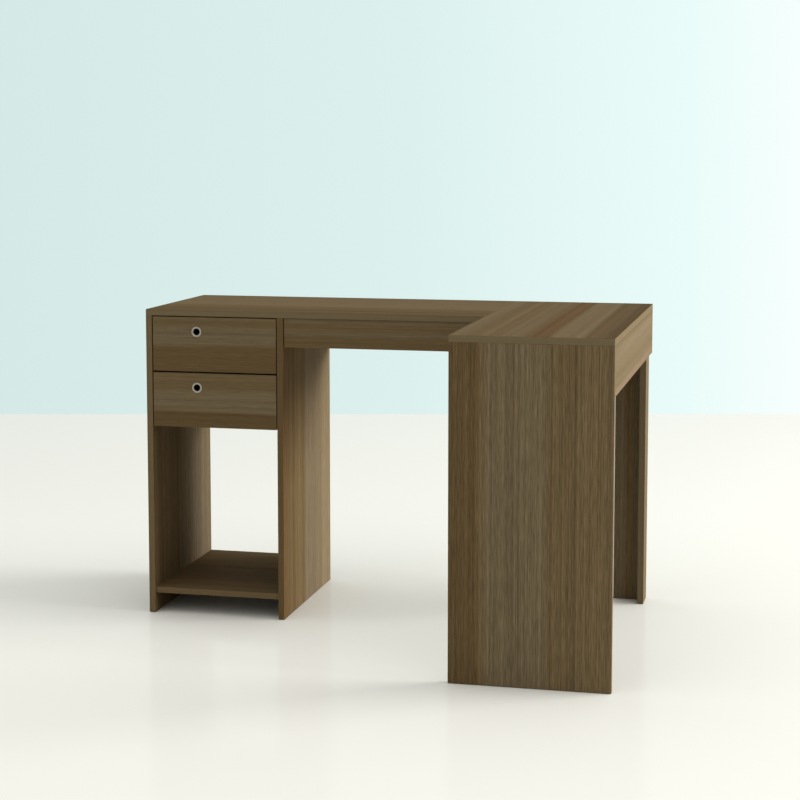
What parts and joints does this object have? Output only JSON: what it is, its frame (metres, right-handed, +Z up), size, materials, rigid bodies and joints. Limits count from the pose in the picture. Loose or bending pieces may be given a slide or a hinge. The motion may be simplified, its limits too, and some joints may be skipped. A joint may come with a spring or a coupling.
{
  "type": "corner desk",
  "caption": "L-shaped corner desk in wood-grain board: drawer pedestal with ring pulls and open shelf, main top with apron, narrow return on a panel leg.",
  "frame": {"origin": "on the floor under the middle of the desk's overall box", "axes": "+X along the main top towards the return, +Y to the wall behind, +Z up"},
  "size_m": [1.185, 0.845, 0.75],
  "materials": {
    "wood_foil": "satin",
    "drawer_board": "satin",
    "hardboard": "matte",
    "beech": "matte",
    "satin_nickel": "satin",
    "zinc_steel": "satin",
    "coated_steel": "satin",
    "nylon": "matte",
    "glide_plastic": "matte"
  },
  "bodies": {
    "desk": {"angle_brackets": "zinc_steel", "back_rail": "wood_foil", "bottom_shelf": "wood_foil", "corner_leg_back": "wood_foil", "corner_leg_side": "wood_foil", "divider_panel": "wood_foil", "dowels": "beech", "floor_glides": "glide_plastic", "front_apron": "wood_foil", "front_leg_panel": "wood_foil", "joining_plates": "zinc_steel", "left_side_panel": "wood_foil", "lower_cabinet_runner_left": "coated_steel", "lower_cabinet_runner_right": "coated_steel", "main_top": "wood_foil", "pedestal_back_panel": "wood_foil", "return_top": "wood_foil", "right_apron": "wood_foil", "upper_cabinet_runner_left": "coated_steel", "upper_cabinet_runner_right": "coated_steel"},
    "upper_drawer": {"upper_drawer_back": "drawer_board", "upper_drawer_bottom": "hardboard", "upper_drawer_front": "wood_foil", "upper_drawer_left_side": "drawer_board", "upper_drawer_right_side": "drawer_board", "upper_drawer_runner_left": "coated_steel", "upper_drawer_runner_right": "coated_steel", "upper_pull_ring": "satin_nickel"},
    "lower_drawer": {"lower_drawer_back": "drawer_board", "lower_drawer_bottom": "hardboard", "lower_drawer_front": "wood_foil", "lower_drawer_left_side": "drawer_board", "lower_drawer_right_side": "drawer_board", "lower_drawer_runner_left": "coated_steel", "lower_drawer_runner_right": "coated_steel", "lower_pull_ring": "satin_nickel"},
    "lower_front_roller_left": {"lower_front_roller_left": "nylon"},
    "lower_front_roller_right": {"lower_front_roller_right": "nylon"},
    "lower_rear_roller_left": {"lower_rear_roller_left": "nylon"},
    "lower_rear_roller_right": {"lower_rear_roller_right": "nylon"},
    "upper_front_roller_left": {"upper_front_roller_left": "nylon"},
    "upper_front_roller_right": {"upper_front_roller_right": "nylon"},
    "upper_rear_roller_left": {"upper_rear_roller_left": "nylon"},
    "upper_rear_roller_right": {"upper_rear_roller_right": "nylon"}
  },
  "joints": [
    {"name": "upper_drawer_slide", "type": "slide", "parent": "desk", "child": "upper_drawer", "axis": [0, -1, 0], "range_m": [0, 0.26]},
    {"name": "lower_drawer_slide", "type": "slide", "parent": "desk", "child": "lower_drawer", "axis": [0, -1, 0], "range_m": [0, 0.26]},
    {"name": "upper_front_roller_left_spin", "type": "hinge", "parent": "desk", "child": "upper_front_roller_left", "pos_m": [-0.5729, 0.0265, 0.6152], "axis": [1, 0, 0], "range_deg": [0, 1500]},
    {"name": "upper_rear_roller_left_spin", "type": "hinge", "parent": "upper_drawer", "child": "upper_rear_roller_left", "pos_m": [-0.5696, 0.3505, 0.617], "axis": [1, 0, 0], "range_deg": [0, 1500]},
    {"name": "upper_front_roller_right_spin", "type": "hinge", "parent": "desk", "child": "upper_front_roller_right", "pos_m": [-0.2661, 0.0265, 0.6152], "axis": [1, 0, 0], "range_deg": [0, 1500]},
    {"name": "upper_rear_roller_right_spin", "type": "hinge", "parent": "upper_drawer", "child": "upper_rear_roller_right", "pos_m": [-0.2694, 0.3505, 0.617], "axis": [1, 0, 0], "range_deg": [0, 1500]},
    {"name": "lower_front_roller_left_spin", "type": "hinge", "parent": "desk", "child": "lower_front_roller_left", "pos_m": [-0.5729, 0.0265, 0.4792], "axis": [1, 0, 0], "range_deg": [0, 1500]},
    {"name": "lower_rear_roller_left_spin", "type": "hinge", "parent": "lower_drawer", "child": "lower_rear_roller_left", "pos_m": [-0.5696, 0.3505, 0.481], "axis": [1, 0, 0], "range_deg": [0, 1500]},
    {"name": "lower_front_roller_right_spin", "type": "hinge", "parent": "desk", "child": "lower_front_roller_right", "pos_m": [-0.2661, 0.0265, 0.4792], "axis": [1, 0, 0], "range_deg": [0, 1500]},
    {"name": "lower_rear_roller_right_spin", "type": "hinge", "parent": "lower_drawer", "child": "lower_rear_roller_right", "pos_m": [-0.2694, 0.3505, 0.481], "axis": [1, 0, 0], "range_deg": [0, 1500]}
  ],
  "couplings": [
    {"joint": "upper_front_roller_left_spin", "follows": "upper_drawer_slide", "rad_per_m": 100},
    {"joint": "upper_rear_roller_left_spin", "follows": "upper_drawer_slide", "rad_per_m": 100},
    {"joint": "upper_front_roller_right_spin", "follows": "upper_drawer_slide", "rad_per_m": 100},
    {"joint": "upper_rear_roller_right_spin", "follows": "upper_drawer_slide", "rad_per_m": 100},
    {"joint": "lower_front_roller_left_spin", "follows": "lower_drawer_slide", "rad_per_m": 100},
    {"joint": "lower_rear_roller_left_spin", "follows": "lower_drawer_slide", "rad_per_m": 100},
    {"joint": "lower_front_roller_right_spin", "follows": "lower_drawer_slide", "rad_per_m": 100},
    {"joint": "lower_rear_roller_right_spin", "follows": "lower_drawer_slide", "rad_per_m": 100}
  ]
}
